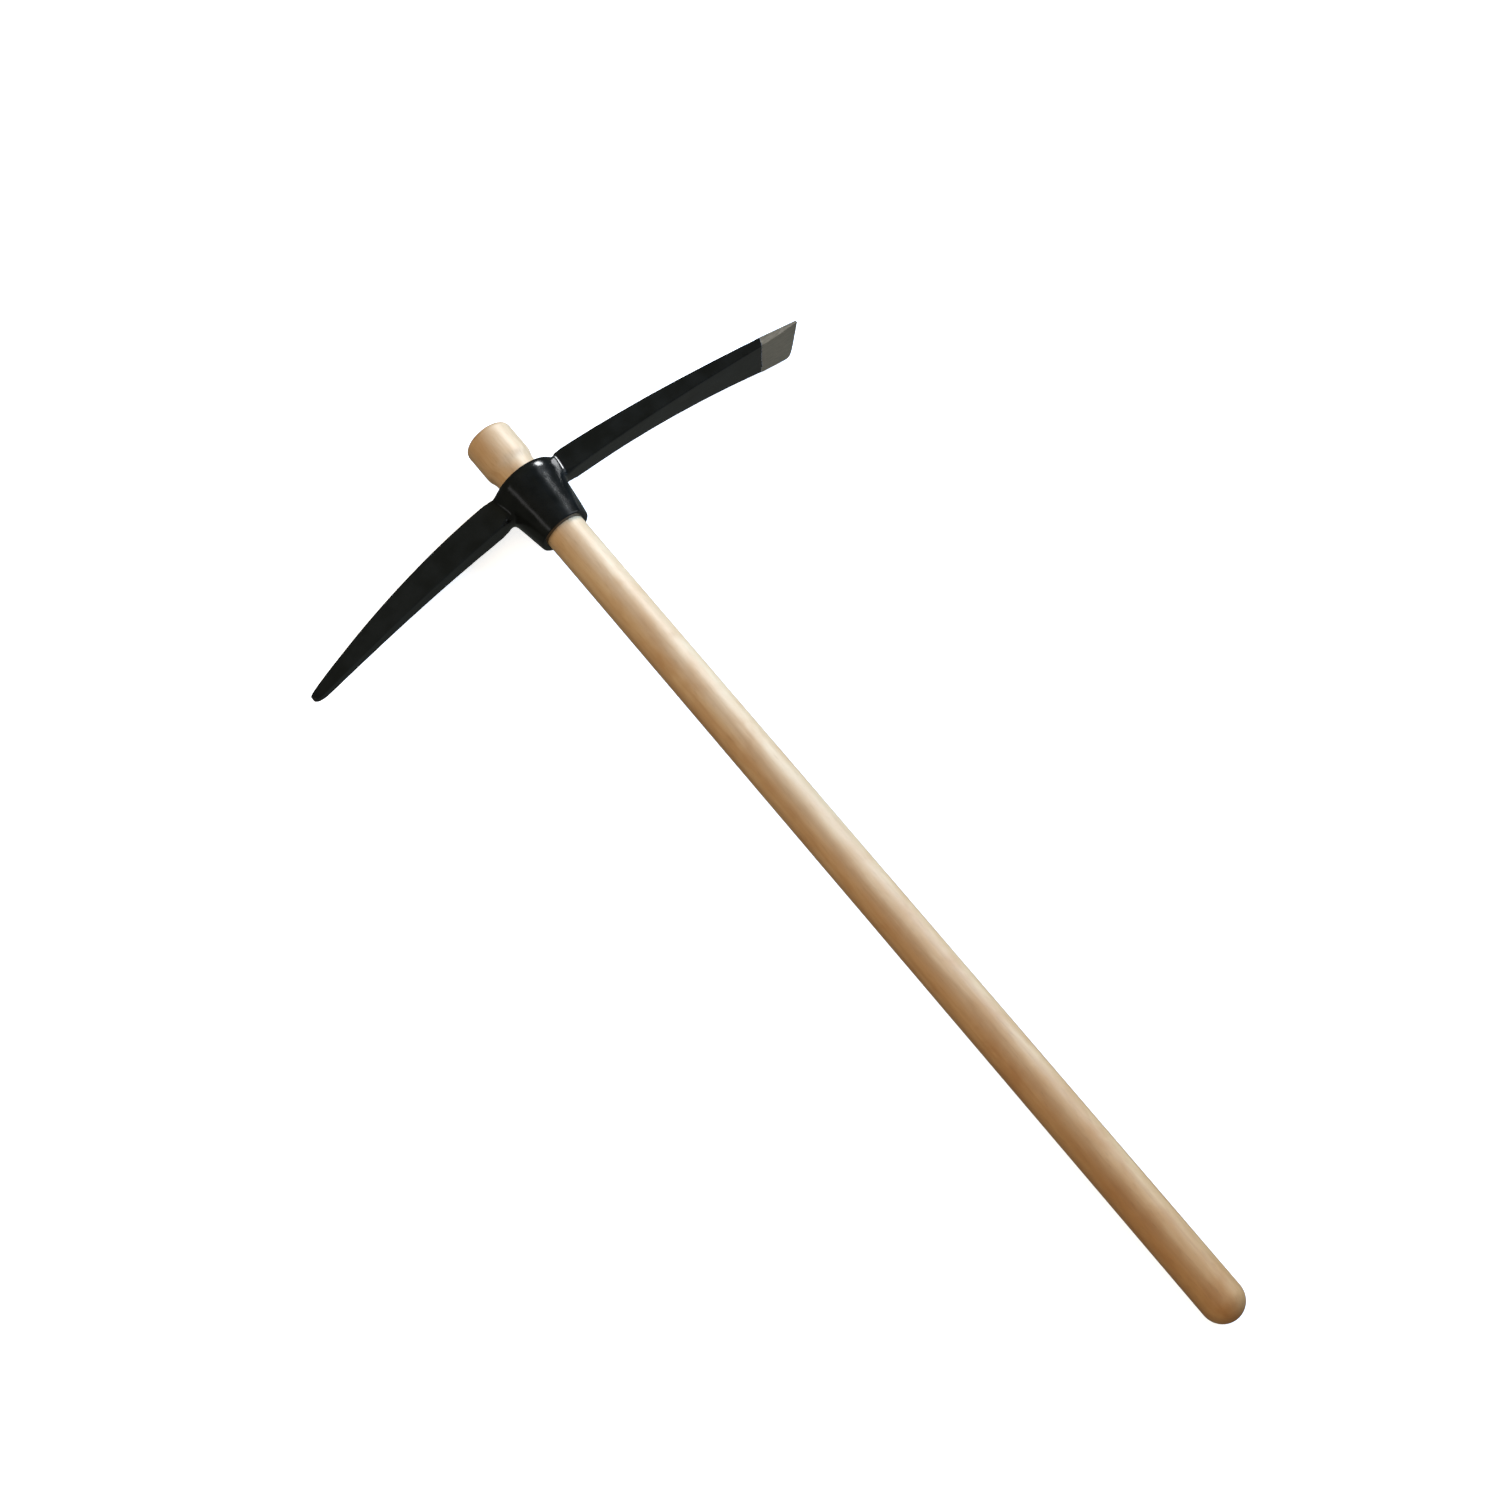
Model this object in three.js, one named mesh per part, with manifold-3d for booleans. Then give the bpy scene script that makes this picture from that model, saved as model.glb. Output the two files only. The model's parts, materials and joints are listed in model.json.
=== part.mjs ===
// A pick mattock lying on its side: one forged steel head that slips over one turned wooden handle.
// Millimetres. Each piece is drawn in the tool's own frame, whose origin is the middle of the head's
// eye on the handle's axis: +X towards the blade's edge, +Y towards the handle's head end.
// The finished tool is then laid down on +Z up, touching at the eye, the grip and the blade's corner.

import * as THREE from 'three';
import { mergeVertices } from 'three/addons/utils/BufferGeometryUtils.js';
import Module from 'manifold-3d';

const wasm = await Module();
wasm.setup();

// Handle
const HANDLE_LENGTH = 900;
const HEAD_END_Y = 75.4;
const SHAFT_RADIUS = 17.2;
const NECK_Y = 34;
const NECK_RADIUS = 18.6;
const HEAD_END_RADIUS = 21;
const HEAD_END_SWELL = 13;
const HEAD_END_ROUNDING = 5;

// Eye, the collar that the handle passes through
const EYE_BOTTOM_Y = -31.5;
const EYE_TOP_Y = 24.5;
const EYE_BOTTOM_RADIUS = 22.9;
const EYE_SWELL_RADIUS = 27.4;
const EYE_TOP_RADIUS = 31;
const EYE_BOTTOM_ROUNDING = 1.5;
const EYE_TOP_ROUNDING = 3.5;
const EYE_CLEARANCE = 0.3;

// Pick arm: the y of its two curved edges at the root, at two handles between, and at the tip
const PICK_LENGTH = 241;
const PICK_OUTER_Y = [24.6, 23.6, 6.8, -21];
const PICK_INNER_Y = [1.7, -1.4, -13.9, -27.7];
const PICK_ROOT_HALF_WIDTH = 11;
const PICK_TIP_HALF_WIDTH = 3.5;

// Blade arm: the same four heights for each edge, then its widths
const BLADE_LENGTH = 253;
const BLADE_OUTER_Y = [26.5, 26.7, 13.2, -8.8];
const BLADE_INNER_Y = [4.3, 8.3, 1, -12.7];
const BLADE_ROOT_HALF_WIDTH = 9.5;
const BLADE_WAIST_HALF_WIDTH = 6.7;
const BLADE_TIP_HALF_WIDTH = 26;
const BLADE_EDGE_SKEW = 2.7;
const BLADE_CORNER_RADIUS = 5;
const BLADE_CORNER_RISE = 0.8;
const BEVEL_LENGTH = 32;
const EDGE_THICKNESS = 2;

// How the tool lies: turned about X until the grip touches, and about Y until the blade's corner does
const LYING_TILT = THREE.MathUtils.degToRad(0.955);
const LYING_ROLL = THREE.MathUtils.degToRad(1.2);

const MERGE_DISTANCE = 1e-4;
const ROUND_SEGMENTS = 48;
const ARC_STEPS = 6;
const CURVE_STEPS = 18;
const PAST = 5;

const PAINT_BLACK = new THREE.Color(0.012, 0.013, 0.013);
const BEECH = new THREE.Color(0.7, 0.52, 0.34);

function arcPoints(centreX, centreY, radius, startAngle, endAngle) {
  const arc = new THREE.EllipseCurve(
    centreX, centreY, radius, radius, startAngle, endAngle, endAngle < startAngle,
  );
  return arc.getPoints(ARC_STEPS);
}

function revolve(profile) {
  return new THREE.LatheGeometry(profile, ROUND_SEGMENTS);
}

function solidFrom(geometry) {
  geometry.deleteAttribute('normal');
  geometry.deleteAttribute('uv');
  const merged = mergeVertices(geometry, MERGE_DISTANCE);
  return new wasm.Manifold(new wasm.Mesh({
    numProp: 3,
    vertProperties: new Float32Array(merged.attributes.position.array),
    triVerts: new Uint32Array(merged.index.array),
  }));
}

function geometryFrom(solid) {
  const mesh = solid.getMesh();
  const geometry = new THREE.BufferGeometry();
  geometry.setAttribute('position', new THREE.BufferAttribute(mesh.vertProperties, mesh.numProp));
  geometry.setIndex(new THREE.BufferAttribute(mesh.triVerts, 1));
  geometry.computeVertexNormals();
  return geometry;
}

// Radius of the handle in the eye: a straight taper from the shaft to the neck above the eye.
function taperRadius(y) {
  const share = (y - EYE_BOTTOM_Y) / (NECK_Y - EYE_BOTTOM_Y);
  return THREE.MathUtils.lerp(SHAFT_RADIUS, NECK_RADIUS, share);
}

function handleGeometry() {
  const gripCentreY = HEAD_END_Y - HANDLE_LENGTH + SHAFT_RADIUS;
  const endRound = HEAD_END_ROUNDING;
  const swell = new THREE.CubicBezierCurve(
    new THREE.Vector2(NECK_RADIUS, NECK_Y),
    new THREE.Vector2(NECK_RADIUS, NECK_Y + HEAD_END_SWELL / 2),
    new THREE.Vector2(HEAD_END_RADIUS, NECK_Y + HEAD_END_SWELL / 2),
    new THREE.Vector2(HEAD_END_RADIUS, NECK_Y + HEAD_END_SWELL),
  );
  return revolve([
    new THREE.Vector2(0, gripCentreY - SHAFT_RADIUS),
    ...arcPoints(0, gripCentreY, SHAFT_RADIUS, -Math.PI / 2, 0).slice(1),
    new THREE.Vector2(SHAFT_RADIUS, EYE_BOTTOM_Y),
    ...swell.getPoints(ARC_STEPS),
    ...arcPoints(HEAD_END_RADIUS - endRound, HEAD_END_Y - endRound, endRound, 0, Math.PI / 2),
    new THREE.Vector2(0, HEAD_END_Y),
  ]);
}

function eyeSolid() {
  const bottomRound = EYE_BOTTOM_ROUNDING;
  const topRound = EYE_TOP_ROUNDING;
  const wall = new THREE.QuadraticBezierCurve(
    new THREE.Vector2(EYE_BOTTOM_RADIUS, EYE_BOTTOM_Y + bottomRound),
    new THREE.Vector2(EYE_SWELL_RADIUS, (EYE_BOTTOM_Y + EYE_TOP_Y) / 2),
    new THREE.Vector2(EYE_TOP_RADIUS, EYE_TOP_Y - topRound),
  );
  return solidFrom(revolve([
    new THREE.Vector2(0, EYE_BOTTOM_Y),
    ...arcPoints(EYE_BOTTOM_RADIUS - bottomRound, EYE_BOTTOM_Y + bottomRound, bottomRound, -Math.PI / 2, 0),
    ...wall.getPoints(ARC_STEPS).slice(1, -1),
    ...arcPoints(EYE_TOP_RADIUS - topRound, EYE_TOP_Y - topRound, topRound, 0, Math.PI / 2),
    new THREE.Vector2(0, EYE_TOP_Y),
  ]));
}

// The eye's tapered hole follows the handle's taper and keeps the clearance all along it.
function boreSolid() {
  const lowY = EYE_BOTTOM_Y - PAST;
  const highY = EYE_TOP_Y + PAST;
  return solidFrom(revolve([
    new THREE.Vector2(0, lowY),
    new THREE.Vector2(SHAFT_RADIUS + EYE_CLEARANCE, lowY),
    new THREE.Vector2(SHAFT_RADIUS + EYE_CLEARANCE, EYE_BOTTOM_Y),
    new THREE.Vector2(taperRadius(highY) + EYE_CLEARANCE, highY),
    new THREE.Vector2(0, highY),
  ]));
}

// An edge of an arm seen from the side, from the handle's axis out to the tip.
function armEdge(tipX, heights) {
  const [rootY, nearY, farY, tipY] = heights;
  return new THREE.CubicBezierCurve(
    new THREE.Vector2(0, rootY),
    new THREE.Vector2(tipX / 3, nearY),
    new THREE.Vector2(tipX * 2 / 3, farY),
    new THREE.Vector2(tipX, tipY),
  );
}

// An outline in the plane of the arms, given its thickness across them.
function sideSlab(outline, halfDepth) {
  const geometry = new THREE.ExtrudeGeometry(new THREE.Shape(outline), {
    depth: 2 * halfDepth,
    bevelEnabled: false,
  });
  geometry.translate(0, 0, -halfDepth);
  return solidFrom(geometry);
}

// An outline seen along the handle, given its length along it.
function planSlab(outline, halfDepth) {
  const geometry = new THREE.ExtrudeGeometry(new THREE.Shape(outline), {
    depth: 2 * halfDepth,
    bevelEnabled: false,
  });
  geometry.rotateX(Math.PI / 2);
  geometry.translate(0, halfDepth, 0);
  return solidFrom(geometry);
}

function pickSolid() {
  const outer = armEdge(-PICK_LENGTH, PICK_OUTER_Y).getPoints(CURVE_STEPS);
  const inner = armEdge(-PICK_LENGTH, PICK_INNER_Y).getPoints(CURVE_STEPS);
  const tipRadius = PICK_TIP_HALF_WIDTH;
  const tipCentreX = -PICK_LENGTH + tipRadius;
  const side = sideSlab([...outer, ...inner.reverse()], PICK_ROOT_HALF_WIDTH + PAST);
  const plan = planSlab([
    new THREE.Vector2(0, -PICK_ROOT_HALF_WIDTH),
    new THREE.Vector2(0, PICK_ROOT_HALF_WIDTH),
    ...arcPoints(tipCentreX, 0, tipRadius, Math.PI / 2, Math.PI * 3 / 2),
  ], PICK_LENGTH);
  return side.intersect(plan);
}

function bladeSolid() {
  const reach = BLADE_LENGTH + BLADE_EDGE_SKEW;
  const outer = armEdge(BLADE_LENGTH, BLADE_OUTER_Y).getPoints(CURVE_STEPS);
  const innerEdge = armEdge(BLADE_LENGTH, BLADE_INNER_Y);
  const bevelStart = 1 - BEVEL_LENGTH / BLADE_LENGTH;
  const inner = [];
  for (let step = 0; step <= CURVE_STEPS; step += 1) {
    inner.push(innerEdge.getPoint(bevelStart * step / CURVE_STEPS));
  }
  const [, , farY, tipY] = BLADE_OUTER_Y;
  const edgeSlope = (tipY - farY) / (BLADE_LENGTH / 3);
  const edgeY = tipY + edgeSlope * BLADE_EDGE_SKEW;
  const side = sideSlab([
    ...outer,
    new THREE.Vector2(reach, edgeY),
    new THREE.Vector2(reach, edgeY - EDGE_THICKNESS),
    ...inner.reverse(),
  ], BLADE_TIP_HALF_WIDTH + PAST);
  return side.intersect(planSlab(bladePlan(reach), BLADE_LENGTH));
}

// The blade seen along the handle: it flares to the edge, whose lower corner is set back and rounded.
function bladePlan(reach) {
  const flare = new THREE.QuadraticBezierCurve(
    new THREE.Vector2(0, BLADE_ROOT_HALF_WIDTH),
    new THREE.Vector2(BLADE_LENGTH / 2, BLADE_WAIST_HALF_WIDTH),
    new THREE.Vector2(BLADE_LENGTH, BLADE_TIP_HALF_WIDTH),
  ).getPoints(CURVE_STEPS);
  const lowerX = BLADE_LENGTH - BLADE_EDGE_SKEW;
  const lowerFlare = flare.map((point) => new THREE.Vector2(point.x, -point.y));
  const corner = new THREE.QuadraticBezierCurve(
    new THREE.Vector2(lowerX, BLADE_CORNER_RADIUS - BLADE_TIP_HALF_WIDTH),
    new THREE.Vector2(lowerX, -BLADE_TIP_HALF_WIDTH),
    new THREE.Vector2(lowerX - BLADE_CORNER_RADIUS, BLADE_CORNER_RISE - BLADE_TIP_HALF_WIDTH),
  ).getPoints(ARC_STEPS);
  const beforeCorner = lowerFlare.filter((point) => point.x < lowerX - BLADE_CORNER_RADIUS);
  return [
    ...flare,
    new THREE.Vector2(reach, BLADE_TIP_HALF_WIDTH),
    ...corner,
    ...beforeCorner.reverse(),
  ];
}

function headGeometry() {
  const forging = eyeSolid().add(pickSolid()).add(bladeSolid());
  return geometryFrom(forging.subtract(boreSolid()));
}

function namedMesh(name, geometry, material) {
  const mesh = new THREE.Mesh(geometry, material);
  mesh.name = name;
  return mesh;
}

function layDown(tool) {
  tool.rotation.set(LYING_TILT, LYING_ROLL, 0);
  tool.updateMatrixWorld(true);
  const box = new THREE.Box3().setFromObject(tool, true);
  tool.position.set(-(box.min.x + box.max.x) / 2, -(box.min.y + box.max.y) / 2, -box.min.z);
}

const tool = new THREE.Group();
tool.add(namedMesh(
  'handle',
  handleGeometry(),
  new THREE.MeshStandardMaterial({ color: BEECH, roughness: 0.5, metalness: 0 }),
));
tool.add(namedMesh(
  'pick_mattock_head',
  headGeometry(),
  new THREE.MeshStandardMaterial({ color: PAINT_BLACK, roughness: 0.3, metalness: 0 }),
));
layDown(tool);

const pickMattock = new THREE.Group();
pickMattock.add(tool);

export default pickMattock;
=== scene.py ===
"""A pick mattock on a pale floor: the forged head and the turned handle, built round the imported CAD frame.

Shapes are drawn in millimetres in the tool's own frame, whose origin is the middle of the head's eye on
the handle's axis, with +X towards the blade's edge and +Y towards the handle's head end. TOOL places that
frame in the row frame, in metres.
"""

import json
import math

import bmesh
import bpy
import numpy as np
from mathutils import Matrix, Vector, noise


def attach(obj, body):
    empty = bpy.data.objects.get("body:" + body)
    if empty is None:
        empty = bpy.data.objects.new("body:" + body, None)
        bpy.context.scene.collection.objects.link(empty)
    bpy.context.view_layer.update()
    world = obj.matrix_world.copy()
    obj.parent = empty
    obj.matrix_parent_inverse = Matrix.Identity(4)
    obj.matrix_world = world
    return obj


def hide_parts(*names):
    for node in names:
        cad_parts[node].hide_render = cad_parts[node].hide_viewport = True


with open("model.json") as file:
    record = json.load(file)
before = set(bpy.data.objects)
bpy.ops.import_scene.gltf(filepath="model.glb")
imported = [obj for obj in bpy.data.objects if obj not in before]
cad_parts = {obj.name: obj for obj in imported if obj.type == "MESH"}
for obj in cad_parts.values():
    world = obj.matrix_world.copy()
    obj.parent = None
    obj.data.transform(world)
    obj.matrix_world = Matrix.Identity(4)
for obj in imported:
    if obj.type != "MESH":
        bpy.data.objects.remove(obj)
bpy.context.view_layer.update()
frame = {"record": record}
MM = 0.001

# Handle
HANDLE_LENGTH = 900
HEAD_END_Y = 75.4
SHAFT_RADIUS = 17.2
NECK_Y = 34
NECK_RADIUS = 18.6
HEAD_END_RADIUS = 21
HEAD_END_SWELL = 13
HEAD_END_ROUNDING = 5
HEAD_END_CENTRE_RADIUS = 12
HANDLE_SHARP_ANGLE = math.radians(50)
HANDLE_SEGMENTS = 96
GRIP_STEPS = 16
SHAFT_STEPS = 48
TAPER_STEPS = 6
SWELL_STEPS = 10
ROUNDING_STEPS = 10

# Eye: the wall's curve as (radius, y), the faces' rings, and how far the bore's upper and lower rings
# stand in from its ends
EYE_SIDES = 16
EYE_BOTTOM_Y = -31.5
EYE_TOP_Y = 24.5
EYE_WALL = ((22.9, -30.0), (27.4, -3.5), (31.0, 21.0))
EYE_BOTTOM_FACE_RADIUS = 20.6
EYE_BOTTOM_RIM_RADIUS = 22.8
EYE_FOOT_SWELL = 0.2
EYE_FOOT_RISE = 0.4
EYE_TOP_FACE_RADIUS = 26.5
EYE_TOP_RIM_INSET = 0.8
EYE_MIDDLE_Y = 11.5
EYE_SHOULDER_Y = 17.5
EYE_CLEARANCE = 0.35
BORE_RING_INSET = 8
BORE_EDGE_CREASE = 0.7

# Where the arms' undersides leave the eye: the general height, then the blade's side and the pick's
UNDERSIDE_Y = 1.0
BLADE_UNDERSIDE_RISE = 3.2
PICK_UNDERSIDE_DROP = 0.8
UNDERSIDE_ROUNDING = 4

# Arms: the y of each curved edge at the root, at two handles between, and at the tip. Their sections
# stand at shares of the arm's length, closer together at the root and the tip.
PICK_LENGTH = 241
PICK_SHARES = (0.132, 0.15, 0.19, 0.27, 0.38, 0.5, 0.62, 0.74, 0.85, 0.93, 0.975, 1.0)
PICK_OUTER_Y = (24.6, 23.6, 6.8, -21.0)
PICK_INNER_Y = (1.7, -1.4, -13.9, -27.7)
PICK_HALF_WIDTHS = (11.0, 3.5)
PICK_POINT_SHARE = 0.66
PICK_POINT_RISE = 1.2
PICK_POINT_REACH = 0.8
BLADE_LENGTH = 253
BEVEL_LENGTH = 32
BEVEL_SHARE = 1 - BEVEL_LENGTH / BLADE_LENGTH
BLADE_SHARES = (0.124, 0.14, 0.18, 0.26, 0.37, 0.49, 0.61, 0.73, 0.82, BEVEL_SHARE, 0.93, 0.972, 1.0)
BLADE_OUTER_Y = (26.5, 26.7, 13.2, -8.8)
BLADE_INNER_Y = (4.3, 8.3, 1.0, -12.7)
BLADE_HALF_WIDTHS = (9.5, 6.7, 26.0)
BLADE_EDGE_SKEW = 2.7
EDGE_THICKNESS = 2

# An arm's section is four rows by three columns of points. A smooth cage's surface lies inside its
# corners, so each section is drawn larger by ARM_SWELL.
ARM_SWELL = 0.6
ROW_SHARES = (0.0, 0.42, 0.82, 1.0)
COLUMNS = (-1, 0, 1)

# Places in a section's outline: the four corners, the face towards the grip and the side at the floor
CORNERS = (0, 2, 5, 7)
GRIP_FACE = (0, 1, 2)
FLOOR_SIDE = (7, 8, 9, 0)

# How sharp the arms' long edges are, from 0 to 1: soft at the root, then firm, and softer at the point
ROOT_CREASES = (0.0, 0.3, 0.5)
ARM_CREASE = 0.62
POINT_CREASE = 0.4
SHARP = 1.0
ROUND = 0.0
HEAD_SUBDIVISIONS = 3
HEAD_SHARP_ANGLE = math.radians(32)

# Hammer and die marks. There are none within a radius and a half height of the eye's centre, which is
# the bore, and none on the bevel or just before it.
MARK_DEPTH = 0.18
MARK_SIZE = 13
UNMARKED_RADIUS = 20.5
UNMARKED_HALF_HEIGHT = 33
UNMARKED_BEVEL_MARGIN = 2

# Where the paint ends on the blade: a line that leans with y, wanders to both sides and is a little soft
BARE_LEAN = 0.5
BARE_MIDDLE_Y = 7.8
BARE_WANDER = 0.8
BARE_SOFTNESS = 0.3

# Plain colours
WHITE = (1, 1, 1, 1)
BLACK = (0, 0, 0, 1)

# Varnished beech: its colours along the grain and of the marks in it, and a painted shade that darkens it
# towards the grip, standing in for the light falling off away from the head; the shade grows between two
# places along the handle
BEECH_DARK = (0.56, 0.345, 0.175)
BEECH_MIDDLE = (0.65, 0.43, 0.235)
BEECH_PALE = (0.72, 0.51, 0.295)
BEECH_RED = (0.53, 0.285, 0.12, 1)
BEECH_CLOUD = (0.61, 0.42, 0.235, 1)
BEECH_FLECK = (0.38, 0.21, 0.10, 1)
BEECH_ROUGHNESS = (0.42, 0.56)
VARNISH_WEIGHT = 0.4
VARNISH_ROUGHNESS = 0.5
# Painted shade: the tint and the two places along the handle over which it darkens the wood towards the grip
GRIP_PAINTED_SHADE_TINT = (0.90, 0.70, 0.50, 1)
GRIP_PAINTED_SHADE_Y = (-60, -800)

# Patterns in the beech: the scale along the handle as a share of the scale across it, the lumps per
# metre, the detail, the roughness and the distortion
STREAKS = (0.05, 160, 4, 0.6, 0.4)
FLECKS = (0.12, 900, 2, 0.5, 0.0)
BLOTCHES = (0.5, 48, 3, 0.6, 0.3)
CLOUDS = (0.4, 26, 2, 0.5, 0.0)

# Black paint and ground steel
PAINT_DARK = (0.0026, 0.0029, 0.0027)
PAINT_PALE = (0.0054, 0.0059, 0.0056)
PAINT_ROUGHNESS = (0.13, 0.22)
STEEL_DARK = (0.49, 0.455, 0.42)
STEEL_PALE = (0.67, 0.62, 0.575)
STEEL_ROUGHNESS = (0.28, 0.42)

# Most of a noise texture's values lie in this range
NOISE_RANGE = (0.3, 0.7)

# A Mix node's sockets for each kind of data: the two inputs after the factor, and the output
MIX_SOCKETS = {"RGBA": (6, 7, 2), "FLOAT": (2, 3, 0)}

# How the tool lies on the floor
LYING_ROLL = math.radians(1.2)

# Stage: the floor, and a card that lies just over it under the blade
FLOOR_HALF_SIZE = 4000
FLOOR_GREY = (0.82, 0.82, 0.82, 1)
FLOOR_ROUGHNESS = 0.9
FLOOR_GLOW = 0.8
CARD_X = (30, 270)
CARD_Y = (-230, 10)
CARD_LIFT = 0.5
CARD_COLOUR = (0.95, 1, 0.90, 1)
CARD_GLOW = 0.16
WORLD_COLOUR = (0.97, 1.04, 0.92, 1)
WORLD_STRENGTH = 0.1

# Lights. Each has its direction in the tool's frame, the y on the handle's axis that it is aimed at, its
# distance and its sizes along and across the handle in metres, its power in watts, its colour, and what
# it is hidden from: the key and the fills show in no reflection ("glossy"), and the cards show only in
# reflections ("diffuse").
LIGHTS = (
    ("key_softbox", (0.89, 0.395, 0.235), -20, 1.3, (0.42, 0.17), 11, (0.92, 0.97, 1.0), "glossy"),
    ("glint_card", (0.81, 0.39, 0.44), -20, 1.3, (0.42, 0.42), 15, (0.95, 0.98, 1.0), "diffuse"),
    ("soft_card", (0.88, -0.13, 0.46), -20, 1.3, (0.57, 1.0), 2.2, (0.9, 0.95, 1.0), "diffuse"),
    ("left_strip", (-0.83, 0.0, 0.55), 0, 1.6, (1.0, 0.24), 0.65, (1.0, 1.0, 1.0), "nothing"),
    ("arm_card", (0.12, 0.45, 0.885), 0, 1.5, (1.1, 1.1), 0.2, (1.0, 0.95, 0.45), "diffuse"),
    ("grip_end_fill", (0.0, -0.97, 0.25), -810, 1.0, (0.6, 0.6), 1.8, (1.0, 0.9, 0.72), "glossy"),
    ("cool_side_fill", (0.90, 0.0, 0.436), -364, 1.2, (0.8, 0.8), 22, (0.53, 1.0, 1.82), "glossy"),
    ("warm_overhead_fill", (-0.35, 0.0, 0.937), 126, 1.5, (1.6, 2.4), 19, (1.02, 0.832, 0.597), "glossy"),
)

# Camera, from the tool's frame. The lens and the sensor are in real millimetres, the clipping in metres.
CAMERA_AZIMUTH = math.radians(-39.48)
CAMERA_ELEVATION = math.radians(70.16)
CAMERA_ROLL = math.radians(0.73)
CAMERA_DISTANCE = 1851.6
CAMERA_AIM = (-1.4, -269.3, 0.0)
CAMERA_LENS = 57.27
CAMERA_SENSOR = 36
CAMERA_CLIPPING = (0.05, 50)


def tool_matrix():
    """The tool's frame in the row frame: the head end's face gives the handle's line and its end."""
    mounts = {mount["name"]: mount for mount in frame["record"]["mounts"]}
    head_face = mounts["handle_head_face"]
    along = Vector(head_face["axis"]).normalized()
    tilt = math.atan2(along.z, along.y)
    turn = Matrix.Rotation(tilt, 4, "X") @ Matrix.Rotation(LYING_ROLL, 4, "Y")
    origin = Vector(head_face["pos_m"]) - along * HEAD_END_Y * MM
    return Matrix.Translation(origin) @ turn


TOOL = tool_matrix()


# ---------------------------------------------------------------- curves

def bezier(points, t):
    """A point on a Bezier curve of any degree, at t from 0 to 1. Points may be numbers or tuples."""
    level = [np.asarray(p, float) for p in points]
    while len(level) > 1:
        level = [a * (1 - t) + b * t for a, b in zip(level, level[1:])]
    return level[0]


def taper_radius(y):
    """The handle's radius in the eye: a straight taper from the shaft to the neck above the eye."""
    share = (y - EYE_BOTTOM_Y) / (NECK_Y - EYE_BOTTOM_Y)
    return SHAFT_RADIUS + (NECK_RADIUS - SHAFT_RADIUS) * share


# ---------------------------------------------------------------- mesh helpers

def mesh_object(name, verts, faces):
    """A mesh object with outward normals, its points given in the tool's frame in millimetres."""
    mesh = bpy.data.meshes.new(name)
    mesh.from_pydata([TOOL @ (Vector(v) * MM) for v in verts], [], faces)
    bm = bmesh.new()
    bm.from_mesh(mesh)
    bmesh.ops.recalc_face_normals(bm, faces=bm.faces)
    bm.to_mesh(mesh)
    bm.free()
    obj = bpy.data.objects.new(name, mesh)
    bpy.context.scene.collection.objects.link(obj)
    return obj


def set_creases(obj, creases):
    """Gives each named edge its crease. creases maps a pair of vertex numbers to a weight."""
    layer = obj.data.attributes.new("crease_edge", "FLOAT", "EDGE")
    for edge in obj.data.edges:
        layer.data[edge.index].value = creases.get(tuple(sorted(edge.vertices)), 0.0)


def subdivide(obj, levels):
    """Catmull-Clark subdivision, applied."""
    modifier = obj.modifiers.new("subdivision", "SUBSURF")
    modifier.levels = levels
    modifier.render_levels = levels
    evaluated = obj.evaluated_get(bpy.context.evaluated_depsgraph_get())
    fine = bpy.data.meshes.new_from_object(evaluated)
    obj.modifiers.clear()
    coarse = obj.data
    obj.data = fine
    bpy.data.meshes.remove(coarse)


def smooth_shading(obj, sharp_angle):
    """Smooth faces, with a sharp edge wherever the surface turns by more than sharp_angle."""
    for polygon in obj.data.polygons:
        polygon.use_smooth = True
    obj.data.set_sharp_from_angle(angle=sharp_angle)


# ---------------------------------------------------------------- handle

def handle_profile():
    """(radius, y) from the grip's end to the head end."""
    grip_y = HEAD_END_Y - HANDLE_LENGTH + SHAFT_RADIUS
    profile = []
    for step in range(1, GRIP_STEPS + 1):
        angle = -math.pi / 2 + step / GRIP_STEPS * math.pi / 2
        profile.append((SHAFT_RADIUS * math.cos(angle), grip_y + SHAFT_RADIUS * math.sin(angle)))
    for step in range(1, SHAFT_STEPS + 1):
        profile.append((SHAFT_RADIUS, grip_y + (EYE_BOTTOM_Y - grip_y) * step / SHAFT_STEPS))
    for step in range(1, TAPER_STEPS + 1):
        y = EYE_BOTTOM_Y + (NECK_Y - EYE_BOTTOM_Y) * step / TAPER_STEPS
        profile.append((taper_radius(y), y))
    middle_y = NECK_Y + HEAD_END_SWELL / 2
    swell = (
        (NECK_RADIUS, NECK_Y), (NECK_RADIUS, middle_y),
        (HEAD_END_RADIUS, middle_y), (HEAD_END_RADIUS, NECK_Y + HEAD_END_SWELL),
    )
    for step in range(1, SWELL_STEPS + 1):
        profile.append(tuple(bezier(swell, step / SWELL_STEPS)))
    edge = HEAD_END_ROUNDING
    for step in range(ROUNDING_STEPS + 1):
        angle = step / ROUNDING_STEPS * math.pi / 2
        radius = HEAD_END_RADIUS - edge + edge * math.cos(angle)
        profile.append((radius, HEAD_END_Y - edge + edge * math.sin(angle)))
    profile.append((HEAD_END_CENTRE_RADIUS, HEAD_END_Y))
    return profile


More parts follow.
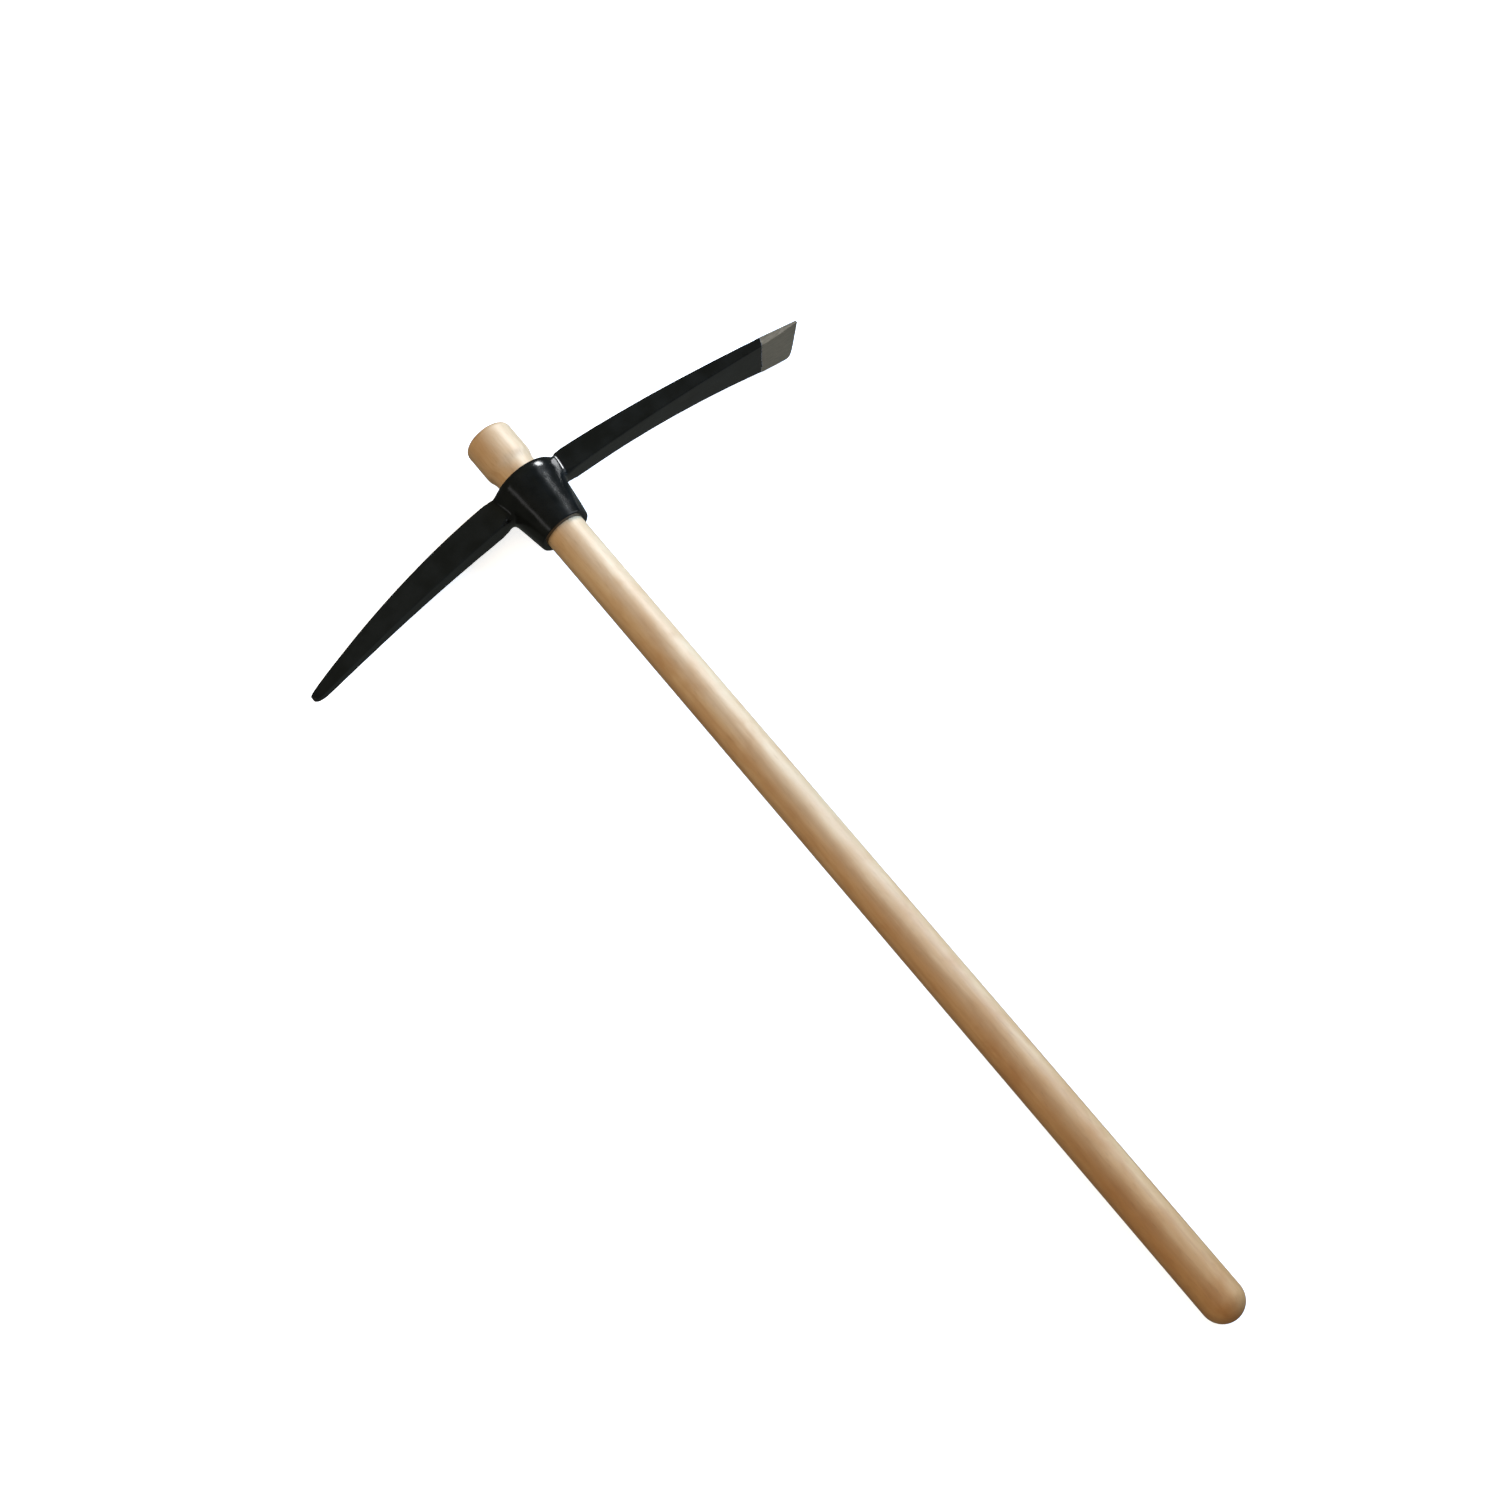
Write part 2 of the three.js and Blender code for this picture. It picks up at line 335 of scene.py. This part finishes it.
def make_handle():
    """The profile turned round the handle's axis, with a fan of faces at each end."""
    profile = handle_profile()
    sides = HANDLE_SEGMENTS
    verts = []
    faces = []
    for radius, y in profile:
        for side in range(sides):
            angle = 2 * math.pi * side / sides
            verts.append((radius * math.cos(angle), y, radius * math.sin(angle)))
    for row in range(len(profile) - 1):
        for side in range(sides):
            a = row * sides + side
            b = row * sides + (side + 1) % sides
            faces.append((a, b, b + sides, a + sides))
    for row, y in ((0, HEAD_END_Y - HANDLE_LENGTH), (len(profile) - 1, HEAD_END_Y)):
        verts.append((0, y, 0))
        centre = len(verts) - 1
        for side in range(sides):
            faces.append((centre, row * sides + side, row * sides + (side + 1) % sides))
    obj = mesh_object("turned_handle", verts, faces)
    smooth_shading(obj, HANDLE_SHARP_ANGLE)
    return obj


# ---------------------------------------------------------------- head

class Cage:
    """A coarse closed mesh whose Catmull-Clark surface is the forging."""

    def __init__(self):
        self.verts = []
        self.faces = []
        self.creases = {}

    def add(self, x, y, z):
        """Adds a point and returns its number."""
        self.verts.append((x, y, z))
        return len(self.verts) - 1

    def crease(self, a, b, weight):
        """Makes the edge between two points soft (0) to sharp (1)."""
        self.creases[tuple(sorted((a, b)))] = weight

    def crease_path(self, path, weight):
        """Creases the edges along an open chain of points."""
        for a, b in zip(path, path[1:]):
            self.crease(a, b, weight)

    def crease_loop(self, loop, weight):
        """Creases the edges round a closed loop of points."""
        self.crease_path(loop + loop[:1], weight)

    def bridge(self, lower, upper, skip=()):
        """Quads between two closed loops of equal length. skip holds the places to leave open."""
        for place in range(len(lower)):
            if place not in skip:
                after = (place + 1) % len(lower)
                self.faces.append((lower[place], lower[after], upper[after], upper[place]))


def ring(cage, radius, heights):
    """A loop round the handle's axis. heights is its y, or a function that gives its y at an angle.

    A smooth cage's surface lies inside its loops, so the loop is drawn larger to keep the radius.
    """
    shrink = (2 + math.cos(2 * math.pi / EYE_SIDES)) / 3
    loop = []
    for side in range(EYE_SIDES):
        angle = 2 * math.pi * side / EYE_SIDES
        y = heights(angle) if callable(heights) else heights
        loop.append(cage.add(radius / shrink * math.cos(angle), y, radius / shrink * math.sin(angle)))
    return loop


def bore_ring(cage, y):
    """A loop of the tapered bore, which keeps its clearance to the handle."""
    return ring(cage, taper_radius(y) + EYE_CLEARANCE, y)


def underside(angle):
    """Height of the ring that the arms' undersides spring from: higher on the blade's side."""
    towards_blade = max(0.0, math.cos(angle)) ** 3
    towards_pick = max(0.0, -math.cos(angle)) ** 3
    return UNDERSIDE_Y + BLADE_UNDERSIDE_RISE * towards_blade - PICK_UNDERSIDE_DROP * towards_pick


def make_eye(cage):
    """The collar. Returns the four loops of its wall that the arms grow from, lowest first."""
    wall = {t: bezier(EYE_WALL, t) for t in (0, 0.25, 0.5, 0.6, 0.8, 1)}
    bottom_face = ring(cage, EYE_BOTTOM_FACE_RADIUS, EYE_BOTTOM_Y)
    bottom_rim = ring(cage, EYE_BOTTOM_RIM_RADIUS, EYE_BOTTOM_Y)
    foot = ring(cage, wall[0][0] + EYE_FOOT_SWELL, wall[0][1] + EYE_FOOT_RISE)
    waist = ring(cage, *wall[0.25])
    below = ring(cage, wall[0.5][0], lambda angle: underside(angle) - UNDERSIDE_ROUNDING)
    under = ring(cage, wall[0.6][0], underside)
    middle = ring(cage, wall[0.8][0], EYE_MIDDLE_Y)
    shoulder = ring(cage, wall[1][0], EYE_SHOULDER_Y)
    top_rim = ring(cage, wall[1][0] - EYE_TOP_RIM_INSET, EYE_TOP_Y)
    top_face = ring(cage, EYE_TOP_FACE_RADIUS, EYE_TOP_Y)
    bore_top = bore_ring(cage, EYE_TOP_Y)
    bore_upper = bore_ring(cage, EYE_TOP_Y - BORE_RING_INSET)
    bore_lower = bore_ring(cage, EYE_BOTTOM_Y + BORE_RING_INSET)
    bore_bottom = bore_ring(cage, EYE_BOTTOM_Y)
    loops = [
        bottom_face, bottom_rim, foot, waist, below, under, middle, shoulder, top_rim, top_face,
        bore_top, bore_upper, bore_lower, bore_bottom,
    ]
    arm_loops = [under, middle, shoulder, top_rim]
    half = EYE_SIDES // 2
    open_places = (EYE_SIDES - 1, 0, half - 1, half)
    for lower, upper in zip(loops, loops[1:] + loops[:1]):
        is_arm = lower in arm_loops and upper in arm_loops
        cage.bridge(lower, upper, open_places if is_arm else ())
    cage.crease_loop(bore_top, BORE_EDGE_CREASE)
    cage.crease_loop(bore_bottom, BORE_EDGE_CREASE)
    return arm_loops


def section_loop(grid):
    """The outline of an arm's section, from a grid of four rows by three columns."""
    return [
        grid[0][0], grid[0][1], grid[0][2], grid[1][2], grid[2][2],
        grid[3][2], grid[3][1], grid[3][0], grid[2][0], grid[1][0],
    ]


def add_section(cage, place, low_y, high_y, half_width, swell):
    """One section of an arm. place(z) gives the x of a point, so that an edge can run askew."""
    low_y -= swell
    high_y += swell
    half_width += swell
    grid = []
    for share in ROW_SHARES:
        y = low_y + (high_y - low_y) * share
        row = []
        for column in COLUMNS:
            z = column * half_width
            row.append(cage.add(place(z), y, z))
        grid.append(row)
    return grid


def grow_arm(cage, root_loop, sections, edge_creases):
    """Bridges the eye's opening and each section in turn, and closes the last one."""
    previous = root_loop
    for index, grid in enumerate(sections):
        loop = section_loop(grid)
        cage.bridge(previous, loop)
        for corner in CORNERS:
            cage.crease(previous[corner], loop[corner], edge_creases[index])
        previous = loop
    last = sections[-1]
    for row in range(len(ROW_SHARES) - 1):
        for column in range(len(COLUMNS) - 1):
            cage.faces.append((
                last[row][column], last[row][column + 1],
                last[row + 1][column + 1], last[row + 1][column],
            ))


def eye_opening(arm_loops, columns):
    """The eye's own points round an arm's root, in the order of section_loop."""
    grid = [[loop[column] for column in columns] for loop in arm_loops]
    return section_loop(grid)


def make_pick(cage, arm_loops):
    """The pick arm: it narrows evenly to a blunt point, whose last section is smaller and raised."""
    sections = []
    for share in PICK_SHARES:
        low = float(bezier(PICK_INNER_Y, share))
        high = float(bezier(PICK_OUTER_Y, share))
        half_width = float(bezier(PICK_HALF_WIDTHS, share))
        x = -PICK_LENGTH * share
        if share == 1:
            middle = (low + high) / 2
            half_height = (high - low) / 2 * PICK_POINT_SHARE
            low = middle + PICK_POINT_RISE - half_height
            high = middle + PICK_POINT_RISE + half_height
            half_width *= PICK_POINT_SHARE
            x -= PICK_POINT_REACH
        sections.append(add_section(cage, lambda z, x=x: x, low, high, half_width, ARM_SWELL))
    half = EYE_SIDES // 2
    root = eye_opening(arm_loops, (half + 1, half, half - 1))
    arm_creases = [ARM_CREASE] * (len(PICK_SHARES) - len(ROOT_CREASES) - 1)
    creases = [*ROOT_CREASES, *arm_creases, POINT_CREASE]
    grow_arm(cage, root, sections, creases)


def make_blade(cage, arm_loops):
    """The blade arm: it flares to an edge that runs askew, ground with a bevel on the grip's side."""
    bevel_low = float(bezier(BLADE_INNER_Y, BEVEL_SHARE))
    edge_low = BLADE_OUTER_Y[-1] - EDGE_THICKNESS
    sections = []
    for share in BLADE_SHARES:
        low = float(bezier(BLADE_INNER_Y, share))
        high = float(bezier(BLADE_OUTER_Y, share))
        half_width = float(bezier(BLADE_HALF_WIDTHS, share))
        past = max(0.0, (share - BEVEL_SHARE) / (1 - BEVEL_SHARE))
        if past > 0:
            low = bevel_low + (edge_low - bevel_low) * past
        skew = BLADE_EDGE_SKEW * past / half_width
        sections.append(add_section(
            cage, lambda z, x=BLADE_LENGTH * share, k=skew: x + k * z, low, high, half_width,
            ARM_SWELL * (1 - past),
        ))
    root = eye_opening(arm_loops, (EYE_SIDES - 1, 0, 1))
    bevel_index = BLADE_SHARES.index(BEVEL_SHARE)
    bevel_creases = [SHARP] * (len(BLADE_SHARES) - bevel_index - 1)
    arm_creases = [ARM_CREASE] * (bevel_index + 1 - len(ROOT_CREASES))
    grow_arm(cage, root, sections, [*ROOT_CREASES, *arm_creases, *bevel_creases])
    bevel = section_loop(sections[bevel_index])
    cage.crease_path([bevel[place] for place in GRIP_FACE], SHARP)
    edge = section_loop(sections[-1])
    cage.crease_loop(edge, SHARP)
    cage.crease_path([edge[place] for place in FLOOR_SIDE], ROUND)


def make_head():
    """The forging: one cage for the eye and both arms, without the points that no face uses."""
    cage = Cage()
    arm_loops = make_eye(cage)
    make_pick(cage, arm_loops)
    make_blade(cage, arm_loops)
    used = sorted({v for face in cage.faces for v in face})
    renumber = {old: new for new, old in enumerate(used)}
    verts = [cage.verts[v] for v in used]
    faces = [tuple(renumber[v] for v in face) for face in cage.faces]
    creases = {
        tuple(sorted((renumber[a], renumber[b]))): weight
        for (a, b), weight in cage.creases.items() if a in renumber and b in renumber
    }
    obj = mesh_object("forged_head", verts, faces)
    set_creases(obj, creases)
    subdivide(obj, HEAD_SUBDIVISIONS)
    roughen(obj)
    smooth_shading(obj, HEAD_SHARP_ANGLE)
    return obj


def roughen(obj):
    """Hammer and die marks: shallow hollows all over the forging, none in the bore or on the bevel."""
    to_tool = TOOL.inverted()
    grain = 1 / (MARK_SIZE * MM)
    marks_end_x = (BLADE_LENGTH - BEVEL_LENGTH - UNMARKED_BEVEL_MARGIN) * MM
    moved = []
    for vertex in obj.data.vertices:
        place = to_tool @ vertex.co
        in_radius = math.hypot(place.x, place.z) < UNMARKED_RADIUS * MM
        in_height = abs(place.y) < UNMARKED_HALF_HEIGHT * MM
        wave = 0.5 + 0.5 * noise.noise(place * grain)
        if (in_radius and in_height) or place.x > marks_end_x:
            wave = 0
        moved.extend(vertex.co - vertex.normal * MARK_DEPTH * MM * wave)
    obj.data.vertices.foreach_set("co", moved)
    obj.data.update()


# ---------------------------------------------------------------- materials

def new_material(name):
    """A new material, with its node tree and its surface shader."""
    material = bpy.data.materials.new(name)
    material.use_nodes = True
    return material, material.node_tree, material.node_tree.nodes["Principled BSDF"]


def connect(tree, value, socket):
    """Gives a socket its value: a link from another node's output, or a constant."""
    if isinstance(value, bpy.types.NodeSocket):
        tree.links.new(value, socket)
    else:
        socket.default_value = value


def tool_coordinates(tree, scale=(1, 1, 1)):
    """Object coordinates turned into the tool's frame, in metres, then multiplied by scale."""
    coordinates = tree.nodes.new("ShaderNodeTexCoord")
    turn = tree.nodes.new("ShaderNodeMapping")
    turn.vector_type = "TEXTURE"
    turn.inputs["Location"].default_value = TOOL.to_translation()
    turn.inputs["Rotation"].default_value = TOOL.to_euler("XYZ")
    connect(tree, coordinates.outputs["Object"], turn.inputs["Vector"])
    stretch = tree.nodes.new("ShaderNodeMapping")
    stretch.inputs["Scale"].default_value = scale
    connect(tree, turn.outputs["Vector"], stretch.inputs["Vector"])
    return stretch.outputs["Vector"]


def separate(tree, vector):
    """The X, Y and Z of a vector, as the outputs of one node."""
    node = tree.nodes.new("ShaderNodeSeparateXYZ")
    connect(tree, vector, node.inputs["Vector"])
    return node.outputs


def noise_texture(tree, vector, scale, detail, roughness=0.5, distortion=0.0):
    """Noise mostly within NOISE_RANGE, with its scale in lumps per metre."""
    texture = tree.nodes.new("ShaderNodeTexNoise")
    texture.inputs["Scale"].default_value = scale
    texture.inputs["Detail"].default_value = detail
    texture.inputs["Roughness"].default_value = roughness
    texture.inputs["Distortion"].default_value = distortion
    connect(tree, vector, texture.inputs["Vector"])
    return texture.outputs["Fac"]


def ramp(tree, value, stops):
    """A colour ramp. stops are (position, colour) with colours as three numbers."""
    node = tree.nodes.new("ShaderNodeValToRGB")
    elements = node.color_ramp.elements
    while len(elements) < len(stops):
        elements.new(0.5)
    for element, (position, colour) in zip(elements, stops):
        element.position = position
        element.color = (*colour, 1)
    connect(tree, value, node.inputs["Fac"])
    return node.outputs["Color"]


def map_range(tree, value, source, target):
    """Maps the range source onto the range target, in a straight line, and stays inside it."""
    node = tree.nodes.new("ShaderNodeMapRange")
    node.inputs["From Min"].default_value, node.inputs["From Max"].default_value = source
    node.inputs["To Min"].default_value, node.inputs["To Max"].default_value = target
    connect(tree, value, node.inputs["Value"])
    return node.outputs["Result"]


def mix(tree, kind, factor, first, second, blend="MIX"):
    """Mixes colours (kind "RGBA") or numbers (kind "FLOAT"), each a constant or another node's output."""
    node = tree.nodes.new("ShaderNodeMix")
    node.data_type = kind
    node.blend_type = blend
    first_socket, second_socket, output = MIX_SOCKETS[kind]
    connect(tree, factor, node.inputs[0])
    connect(tree, first, node.inputs[first_socket])
    connect(tree, second, node.inputs[second_socket])
    return node.outputs[output]


def bump(tree, height, distance, strength, below=None):
    """A normal from a height, with its distance in metres, over the normal below if there is one."""
    node = tree.nodes.new("ShaderNodeBump")
    node.inputs["Distance"].default_value = distance
    node.inputs["Strength"].default_value = strength
    connect(tree, height, node.inputs["Height"])
    if below is not None:
        connect(tree, below, node.inputs["Normal"])
    return node.outputs["Normal"]


def grain_pattern(tree, stretch, scale, detail, roughness, distortion):
    """Noise drawn out along the handle."""
    place = tool_coordinates(tree, (1, stretch, 1))
    return noise_texture(tree, place, scale, detail, roughness, distortion)


def wood_material():
    """Pale beech, turned and lightly varnished: long soft streaks, fine flecks, and painted shade that
    darkens it towards the grip.
    """
    material, tree, surface = new_material("beech")
    streaks = grain_pattern(tree, *STREAKS)
    flecks = grain_pattern(tree, *FLECKS)
    colour = ramp(tree, streaks, ((0.30, BEECH_DARK), (0.50, BEECH_MIDDLE), (0.72, BEECH_PALE)))
    for pattern, shown_range, amount, tint in (
        (grain_pattern(tree, *BLOTCHES), (0.42, 0.68), 0.6, BEECH_RED),
        (grain_pattern(tree, *CLOUDS), (0.5, 0.72), 0.45, BEECH_CLOUD),
        (flecks, (0.58, 0.75), 0.3, BEECH_FLECK),
    ):
        factor = map_range(tree, pattern, shown_range, (0, amount))
        colour = mix(tree, "RGBA", factor, colour, tint)
    # Painted shade: the colour darkens towards the grip, standing in for the light falling off away from the
    # head
    along = separate(tree, tool_coordinates(tree))["Y"]
    painted_shade_factor = map_range(tree, along, [y * MM for y in GRIP_PAINTED_SHADE_Y], (0, 1))
    painted_shade_colour = mix(tree, "RGBA", painted_shade_factor, WHITE, GRIP_PAINTED_SHADE_TINT)
    connect(tree, mix(tree, "RGBA", 1.0, colour, painted_shade_colour, "MULTIPLY"), surface.inputs["Base Color"])
    connect(tree, map_range(tree, streaks, NOISE_RANGE, BEECH_ROUGHNESS), surface.inputs["Roughness"])
    surface.inputs["Coat Weight"].default_value = VARNISH_WEIGHT
    surface.inputs["Coat Roughness"].default_value = VARNISH_ROUGHNESS
    pores = bump(tree, flecks, distance=0.0002, strength=0.25)
    relief = bump(tree, streaks, distance=0.0004, strength=0.2, below=pores)
    connect(tree, relief, surface.inputs["Normal"])
    return material


def bare_steel_mask(tree, place):
    """0 on the paint and 1 on the ground steel, on the two sides of the line where the paint ends."""
    position = separate(tree, place)
    ragged = noise_texture(tree, place, scale=260, detail=3)
    wander = map_range(tree, ragged, NOISE_RANGE, (-BARE_WANDER * MM, BARE_WANDER * MM))
    across = tree.nodes.new("ShaderNodeMath")
    connect(tree, position["X"], across.inputs[0])
    connect(tree, wander, across.inputs[1])
    leaning = tree.nodes.new("ShaderNodeMath")
    leaning.operation = "MULTIPLY_ADD"
    connect(tree, position["Y"], leaning.inputs[0])
    connect(tree, -BARE_LEAN, leaning.inputs[1])
    connect(tree, across.outputs[0], leaning.inputs[2])
    line = (BLADE_LENGTH - BEVEL_LENGTH + BARE_LEAN * BARE_MIDDLE_Y) * MM
    soft = BARE_SOFTNESS * MM
    return map_range(tree, leaning.outputs[0], (line - soft, line + soft), (0, 1))


def head_material():
    """Glossy black paint over the forging, and bare ground steel along the blade's edge."""
    material, tree, surface = new_material("black_paint_and_ground_steel")
    place = tool_coordinates(tree)
    bare = bare_steel_mask(tree, place)
    lumps = noise_texture(tree, place, scale=70, detail=2)
    peel = noise_texture(tree, place, scale=900, detail=2)
    brushed = tool_coordinates(tree, (0.06, 1, 1))
    scratches = noise_texture(tree, brushed, scale=1500, detail=3, roughness=0.7)
    paint = ramp(tree, lumps, ((0.35, PAINT_DARK), (0.65, PAINT_PALE)))
    steel = ramp(tree, scratches, ((0.35, STEEL_DARK), (0.65, STEEL_PALE)))
    paint_roughness = map_range(tree, lumps, NOISE_RANGE, PAINT_ROUGHNESS)
    steel_roughness = map_range(tree, scratches, NOISE_RANGE, STEEL_ROUGHNESS)
    roughness = mix(tree, "FLOAT", bare, paint_roughness, steel_roughness)
    connect(tree, mix(tree, "RGBA", bare, paint, steel), surface.inputs["Base Color"])
    connect(tree, bare, surface.inputs["Metallic"])
    connect(tree, roughness, surface.inputs["Roughness"])
    fine_height = mix(tree, "FLOAT", bare, peel, scratches)
    fine = bump(tree, fine_height, distance=0.00006, strength=0.5)
    relief = bump(tree, lumps, distance=0.0012, strength=0.24, below=fine)
    connect(tree, relief, surface.inputs["Normal"])
    return material


def glowing_material(name, base, glow, strength):
    """A plain material that gives light of its own."""
    material, _, surface = new_material(name)
    surface.inputs["Base Color"].default_value = base
    surface.inputs["Emission Color"].default_value = glow
    surface.inputs["Emission Strength"].default_value = strength
    return material, surface


def floor_material():
    """A pale sweep, bright enough to read as a white studio floor."""
    material, surface = glowing_material("pale_floor", FLOOR_GREY, WHITE, FLOOR_GLOW)
    surface.inputs["Roughness"].default_value = FLOOR_ROUGHNESS
    return material


# ---------------------------------------------------------------- stage

def flat_panel(name, corners, material):
    """A rectangle of the stage that lights nothing, from its four corners in the row frame in metres."""
    mesh = bpy.data.meshes.new(name)
    mesh.from_pydata(corners, [], [(0, 1, 2, 3)])
    mesh.materials.append(material)
    panel = bpy.data.objects.new(name, mesh)
    bpy.context.scene.collection.objects.link(panel)
    panel.visible_diffuse = False
    return panel


def make_floor():
    """The floor: it takes the tool's shadow and shows in no reflection."""
    half = FLOOR_HALF_SIZE * MM
    corners = [(-half, -half, 0), (half, -half, 0), (half, half, 0), (-half, half, 0)]
    floor = flat_panel("studio_floor", corners, floor_material())
    floor.visible_glossy = False


def make_bounce_card():
    """A dim card on the floor under the blade, seen only in the blade's reflection of the floor."""
    left, right = CARD_X
    near, far = CARD_Y
    corners = []
    for x, y in ((left, near), (right, near), (right, far), (left, far)):
        place = TOOL @ (Vector((x, y, 0)) * MM)
        corners.append((place.x, place.y, CARD_LIFT * MM))
    material, _ = glowing_material("bounce_card", BLACK, CARD_COLOUR, CARD_GLOW)
    card = flat_panel("bounce_card", corners, material)
    card.visible_camera = False
    card.visible_shadow = False


def make_light(name, direction, aim_y, distance, sizes, power, colour, hidden_from):
    """A soft rectangular light that faces a point on the handle's axis."""
    data = bpy.data.lights.new(name, "AREA")
    data.shape = "RECTANGLE"
    data.size, data.size_y = sizes
    data.energy = power
    data.color = colour
    light = bpy.data.objects.new(name, data)
    bpy.context.scene.collection.objects.link(light)
    target = TOOL @ (Vector((0, aim_y, 0)) * MM)
    out = (TOOL.to_3x3() @ Vector(direction)).normalized()
    light.location = target + out * distance
    light.rotation_mode = "QUATERNION"
    light.rotation_quaternion = (-out).to_track_quat("-Z", "Y")
    light.visible_glossy = hidden_from != "glossy"
    light.visible_diffuse = hidden_from != "diffuse"


def make_world():
    """A dim sky, even all round."""
    world = bpy.data.worlds.new("studio")
    world.use_nodes = True
    background = world.node_tree.nodes["Background"]
    background.inputs["Color"].default_value = WORLD_COLOUR
    background.inputs["Strength"].default_value = WORLD_STRENGTH
    bpy.context.scene.world = world


def make_camera():
    """The photo's camera: high over the tool, from a little towards the grip and the pick."""
    data = bpy.data.cameras.new("camera")
    data.lens = CAMERA_LENS
    data.sensor_width = CAMERA_SENSOR
    data.clip_start, data.clip_end = CAMERA_CLIPPING
    camera = bpy.data.objects.new("camera", data)
    bpy.context.scene.collection.objects.link(camera)
    level = math.cos(CAMERA_ELEVATION)
    back = Vector((
        math.sin(CAMERA_AZIMUTH) * level, -math.cos(CAMERA_AZIMUTH) * level, math.sin(CAMERA_ELEVATION),
    ))
    turn = back.to_track_quat("Z", "Y").to_matrix().to_4x4() @ Matrix.Rotation(CAMERA_ROLL, 4, "Z")
    place = Vector(CAMERA_AIM) * MM + back * CAMERA_DISTANCE * MM
    camera.matrix_world = TOOL @ Matrix.Translation(place) @ turn
    bpy.context.scene.camera = camera


def main():
    """The stage first, then the handle and the head, each on its own body and in its own slot."""
    make_camera()
    make_floor()
    make_bounce_card()
    for light in LIGHTS:
        make_light(*light)
    make_world()
    handle = make_handle()
    handle.data.materials.append(wood_material())
    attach(handle, "handle_body")
    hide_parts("handle")
    head = make_head()
    head.data.materials.append(head_material())
    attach(head, "head_body")
    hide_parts("pick_mattock_head")
    bpy.context.scene.view_settings.view_transform = "Standard"


main()
